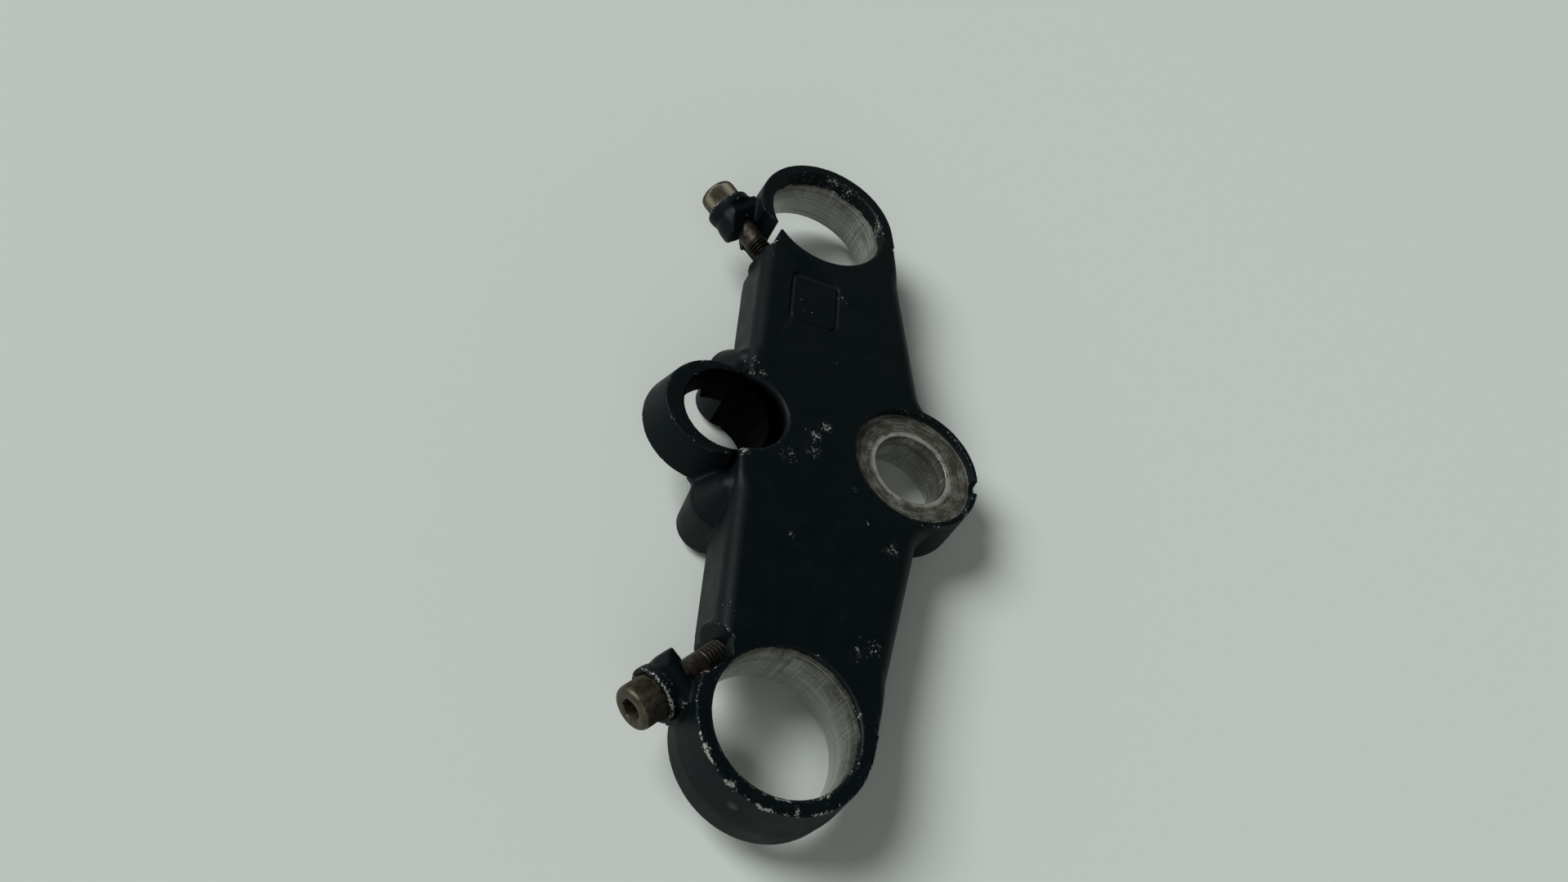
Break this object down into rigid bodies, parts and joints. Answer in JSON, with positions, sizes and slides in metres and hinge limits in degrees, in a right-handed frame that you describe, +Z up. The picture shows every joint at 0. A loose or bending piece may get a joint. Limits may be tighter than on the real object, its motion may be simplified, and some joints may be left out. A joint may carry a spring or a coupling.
{
  "type": "upper fork clamp",
  "caption": "Cast upper fork clamp of a motorcycle, with pinch-bolted fork bores, a counterbored stem bore and a forward ring for the steering lock.",
  "frame": {"origin": "on the steering stem's axis, at the seat of the stem nut (the counterbore's floor)", "axes": "+X along the line between the two forks, +Y forward to the steering lock, +Z up along the stem"},
  "size_m": [0.2506, 0.1122, 0.0327],
  "materials": {
    "black_paint": "satin black paint on a cast alloy, bare and machined in the bores, chipped at the edges",
    "oxide_steel": "black oxide worn to a brown, knurled head"
  },
  "bodies": {
    "root": {"yoke_casting": "black_paint", "pinch_screw_left": "oxide_steel", "pinch_screw_right": "oxide_steel"}
  },
  "joints": []
}
